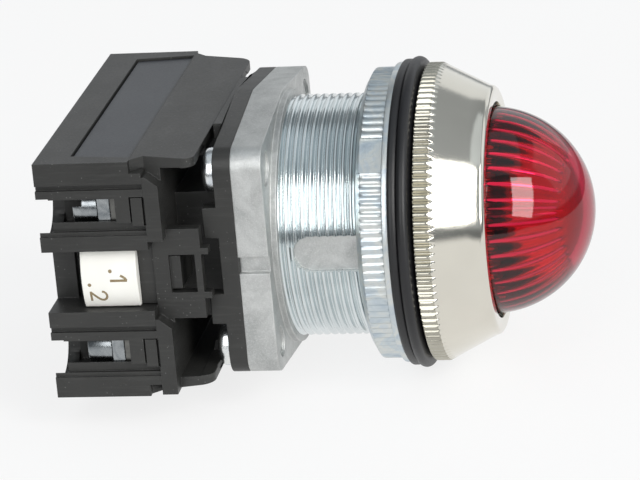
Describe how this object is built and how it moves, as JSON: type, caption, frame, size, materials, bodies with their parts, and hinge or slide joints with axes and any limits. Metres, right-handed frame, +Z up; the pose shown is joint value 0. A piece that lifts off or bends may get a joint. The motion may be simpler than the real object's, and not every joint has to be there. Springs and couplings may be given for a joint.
{
  "type": "panel pilot light",
  "caption": "Panel pilot light with a domed red lens, knurled bezel, gasket, threaded metal neck with ring nut, and a clip-on terminal block.",
  "frame": {"origin": "on the lamp's axis, in the plane of the panel's front face, where the gasket lies", "axes": "-Y out of the panel through the lens, +Y back through the panel to the terminals, +Z up"},
  "size_m": [0.0448, 0.0644, 0.0384],
  "materials": {
    "cast_zinc": "die-cast, plated, fine grained",
    "plated_steel": "zinc plated",
    "nickel": "satin nickel",
    "black_rubber": "matt",
    "red_lens": "clear moulded, polished",
    "black_plastic": "moulded, lightly marked",
    "label_plastic": "fine matt",
    "marker_white": "printed",
    "brass": "bright",
    "board_green": "solder mask",
    "diode_red": "clear epoxy",
    "sleeve_blue": "shrink sleeve",
    "chip_black": "moulded epoxy",
    "resistor_tan": "lacquered, banded"
  },
  "bodies": {
    "lamp": {"body_casting": "cast_zinc", "panel_gasket": "black_rubber", "base_plate": "black_plastic", "base_screw_1": "plated_steel", "base_screw_2": "plated_steel", "base_screw_3": "plated_steel", "base_screw_4": "plated_steel", "terminal_housing": "black_plastic", "clip_frame": "black_plastic", "label_plate": "label_plastic", "marker_plate_1": "marker_white", "marker_plate_2": "marker_white", "terminal_bar_1": "brass", "terminal_bar_2": "brass", "lamp_holder": "black_plastic", "light_board": "board_green", "diode_cluster": "diode_red", "supply_pin_1": "brass", "supply_pin_2": "brass", "driver_board": "board_green", "capacitor": "sleeve_blue", "rectifier": "chip_black", "series_resistor": "resistor_tan"},
    "washer": {"panel_washer": "plated_steel"},
    "nut": {"ring_nut": "plated_steel"},
    "lens": {"lens_dome": "red_lens", "lens_seal": "black_rubber"},
    "bezel": {"bezel_ring": "nickel"},
    "clamp_1": {"clamp_washer_1": "plated_steel"},
    "screw_1": {"terminal_screw_1": "plated_steel"},
    "clamp_2": {"clamp_washer_2": "plated_steel"},
    "screw_2": {"terminal_screw_2": "plated_steel"},
    "clamp_3": {"clamp_washer_3": "plated_steel"},
    "screw_3": {"terminal_screw_3": "plated_steel"},
    "clamp_4": {"clamp_washer_4": "plated_steel"},
    "screw_4": {"terminal_screw_4": "plated_steel"}
  },
  "joints": [
    {"name": "washer_slide", "type": "slide", "parent": "lamp", "child": "washer", "axis": [0, 1, 0], "range_m": [0, 0.00905]},
    {"name": "nut_turn", "type": "hinge", "parent": "washer", "child": "nut", "pos_m": [0, 0.002, 0], "axis": [0, 1, 0], "range_deg": [0, 3240]},
    {"name": "lens_slide", "type": "slide", "parent": "lamp", "child": "lens", "axis": [0, -1, 0], "range_m": [0, 0.00405]},
    {"name": "bezel_turn", "type": "hinge", "parent": "lens", "child": "bezel", "pos_m": [0, -0.006, 0], "axis": [0, -1, 0], "range_deg": [0, 1440]},
    {"name": "clamp_1_slide", "type": "slide", "parent": "lamp", "child": "clamp_1", "axis": [0, 1, 0], "range_m": [0, 0.0018]},
    {"name": "screw_1_turn", "type": "hinge", "parent": "clamp_1", "child": "screw_1", "pos_m": [-0.01865, 0.036, 0.00865], "axis": [0, 1, 0], "range_deg": [0, 1080]},
    {"name": "clamp_2_slide", "type": "slide", "parent": "lamp", "child": "clamp_2", "axis": [0, 1, 0], "range_m": [0, 0.0018]},
    {"name": "screw_2_turn", "type": "hinge", "parent": "clamp_2", "child": "screw_2", "pos_m": [-0.01865, 0.036, -0.0094], "axis": [0, 1, 0], "range_deg": [0, 1080]},
    {"name": "clamp_3_slide", "type": "slide", "parent": "lamp", "child": "clamp_3", "axis": [0, 1, 0], "range_m": [0, 0.0018]},
    {"name": "screw_3_turn", "type": "hinge", "parent": "clamp_3", "child": "screw_3", "pos_m": [0.01865, 0.036, 0.00865], "axis": [0, 1, 0], "range_deg": [0, 1080]},
    {"name": "clamp_4_slide", "type": "slide", "parent": "lamp", "child": "clamp_4", "axis": [0, 1, 0], "range_m": [0, 0.0018]},
    {"name": "screw_4_turn", "type": "hinge", "parent": "clamp_4", "child": "screw_4", "pos_m": [0.01865, 0.036, -0.0094], "axis": [0, 1, 0], "range_deg": [0, 1080]}
  ],
  "couplings": [
    {"joint": "washer_slide", "follows": "nut_turn", "m_per_rad": 0.00015915},
    {"joint": "lens_slide", "follows": "bezel_turn", "m_per_rad": 0.00015915},
    {"joint": "screw_1_turn", "follows": "clamp_1_slide", "rad_per_m": 10472},
    {"joint": "screw_2_turn", "follows": "clamp_2_slide", "rad_per_m": 10472},
    {"joint": "screw_3_turn", "follows": "clamp_3_slide", "rad_per_m": 10472},
    {"joint": "screw_4_turn", "follows": "clamp_4_slide", "rad_per_m": 10472}
  ]
}
